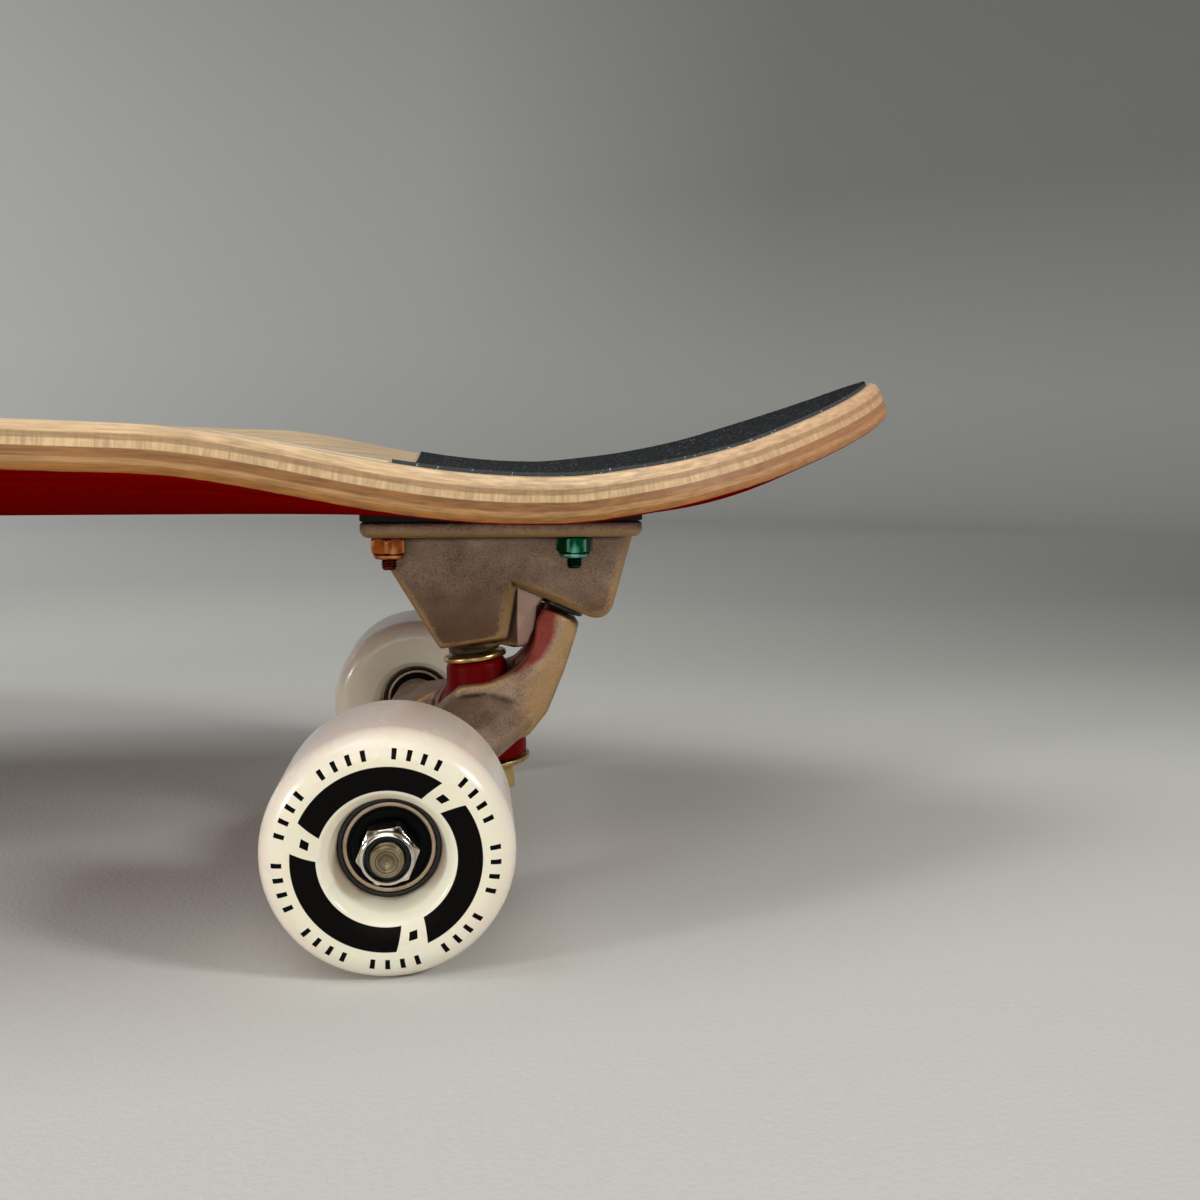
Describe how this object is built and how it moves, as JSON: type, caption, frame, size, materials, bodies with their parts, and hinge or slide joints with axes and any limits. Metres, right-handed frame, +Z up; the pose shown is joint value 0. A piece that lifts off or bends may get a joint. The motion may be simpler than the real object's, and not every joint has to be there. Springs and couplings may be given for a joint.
{
  "type": "surfskate",
  "caption": "Carving skateboard: pressed maple deck with a kicked tail and grip sheet, cast carving trucks on urethane bushings, and smooth cream wheels on ball bearings.",
  "frame": {"origin": "on the floor, under the middle of the board's bounding box", "axes": "+X from the nose to the tail, +Y to the rider's right, +Z up"},
  "size_m": [0.7782, 0.2412, 0.1437],
  "materials": {
    "maple": "clear lacquer on top and edges, dark red paint underneath",
    "grip": "black abrasive grit on a self-adhesive sheet",
    "riser": "hard black rubber",
    "bronze_casting": "cast, antique bronze finish worn bright on its edges",
    "cup_plastic": "black moulded nylon",
    "gold_steel": "zinc plated, yellow passivated",
    "dark_steel": "plain hardened steel",
    "red_urethane": "cast urethane, satin, dark red",
    "axle_steel": "turned steel",
    "chrome": "bright plated, with a nylon insert",
    "cream_urethane": "cast urethane, smooth and glossy, cream",
    "core_plastic": "black hard core",
    "bearing_seal": "steel races with a dark blue-black seal",
    "bolt_steel": "plated steel",
    "copper_anodised": "anodised copper orange",
    "green_anodised": "anodised green",
    "blue_anodised": "anodised blue",
    "violet_anodised": "anodised violet"
  },
  "bodies": {
    "board": {"deck": "maple", "tail_grip": "grip", "rear_riser_pad": "riser", "rear_baseplate": "bronze_casting", "rear_pivot_cup": "cup_plastic", "rear_kingpin": "dark_steel", "rear_top_washer": "gold_steel", "rear_top_bushing": "red_urethane", "rear_bottom_bushing": "red_urethane", "rear_bottom_washer": "gold_steel", "rear_kingpin_nut": "gold_steel", "rear_left_inner_bolt": "bolt_steel", "rear_left_inner_nut": "copper_anodised", "rear_left_outer_bolt": "bolt_steel", "rear_left_outer_nut": "green_anodised", "rear_right_inner_bolt": "bolt_steel", "rear_right_inner_nut": "blue_anodised", "rear_right_outer_bolt": "bolt_steel", "rear_right_outer_nut": "violet_anodised", "front_riser_pad": "riser", "front_baseplate": "bronze_casting", "front_pivot_cup": "cup_plastic", "front_kingpin": "dark_steel", "front_top_washer": "gold_steel", "front_top_bushing": "red_urethane", "front_bottom_bushing": "red_urethane", "front_bottom_washer": "gold_steel", "front_kingpin_nut": "gold_steel", "front_left_inner_bolt": "bolt_steel", "front_left_inner_nut": "copper_anodised", "front_left_outer_bolt": "bolt_steel", "front_left_outer_nut": "green_anodised", "front_right_inner_bolt": "bolt_steel", "front_right_inner_nut": "blue_anodised", "front_right_outer_bolt": "bolt_steel", "front_right_outer_nut": "violet_anodised"},
    "rear_truck": {"rear_hanger": "bronze_casting", "rear_axle": "axle_steel", "rear_left_axle_nut": "chrome", "rear_right_axle_nut": "chrome"},
    "rear_left_wheel": {"rear_left_tyre": "cream_urethane", "rear_left_core": "core_plastic", "rear_left_inner_bearing": "bearing_seal", "rear_left_outer_bearing": "bearing_seal"},
    "rear_right_wheel": {"rear_right_tyre": "cream_urethane", "rear_right_core": "core_plastic", "rear_right_inner_bearing": "bearing_seal", "rear_right_outer_bearing": "bearing_seal"},
    "front_truck": {"front_hanger": "bronze_casting", "front_axle": "axle_steel", "front_left_axle_nut": "chrome", "front_right_axle_nut": "chrome"},
    "front_left_wheel": {"front_left_tyre": "cream_urethane", "front_left_core": "core_plastic", "front_left_inner_bearing": "bearing_seal", "front_left_outer_bearing": "bearing_seal"},
    "front_right_wheel": {"front_right_tyre": "cream_urethane", "front_right_core": "core_plastic", "front_right_inner_bearing": "bearing_seal", "front_right_outer_bearing": "bearing_seal"}
  },
  "joints": [
    {"name": "rear_steer", "type": "hinge", "parent": "board", "child": "rear_truck", "pos_m": [0.26245, 0, 0.04086], "axis": [0.5861, 0, 0.8103], "range_deg": [-18, 18], "stiffness_Nm_per_rad": 18, "deforming": ["rear_top_bushing", "rear_bottom_bushing"]},
    {"name": "front_steer", "type": "hinge", "parent": "board", "child": "front_truck", "pos_m": [-0.22395, 0, 0.04086], "axis": [-0.5861, 0, 0.8103], "range_deg": [-18, 18], "stiffness_Nm_per_rad": 18, "deforming": ["front_top_bushing", "front_bottom_bushing"]},
    {"name": "rear_left_spin", "type": "hinge", "parent": "rear_truck", "child": "rear_left_wheel", "pos_m": [0.23925, -0.0893, 0.02986], "axis": [0, 1, 0], "continuous": true},
    {"name": "rear_right_spin", "type": "hinge", "parent": "rear_truck", "child": "rear_right_wheel", "pos_m": [0.23925, 0.0893, 0.02986], "axis": [0, 1, 0], "continuous": true},
    {"name": "front_left_spin", "type": "hinge", "parent": "front_truck", "child": "front_left_wheel", "pos_m": [-0.20075, -0.0893, 0.02986], "axis": [0, 1, 0], "continuous": true},
    {"name": "front_right_spin", "type": "hinge", "parent": "front_truck", "child": "front_right_wheel", "pos_m": [-0.20075, 0.0893, 0.02986], "axis": [0, 1, 0], "continuous": true}
  ]
}
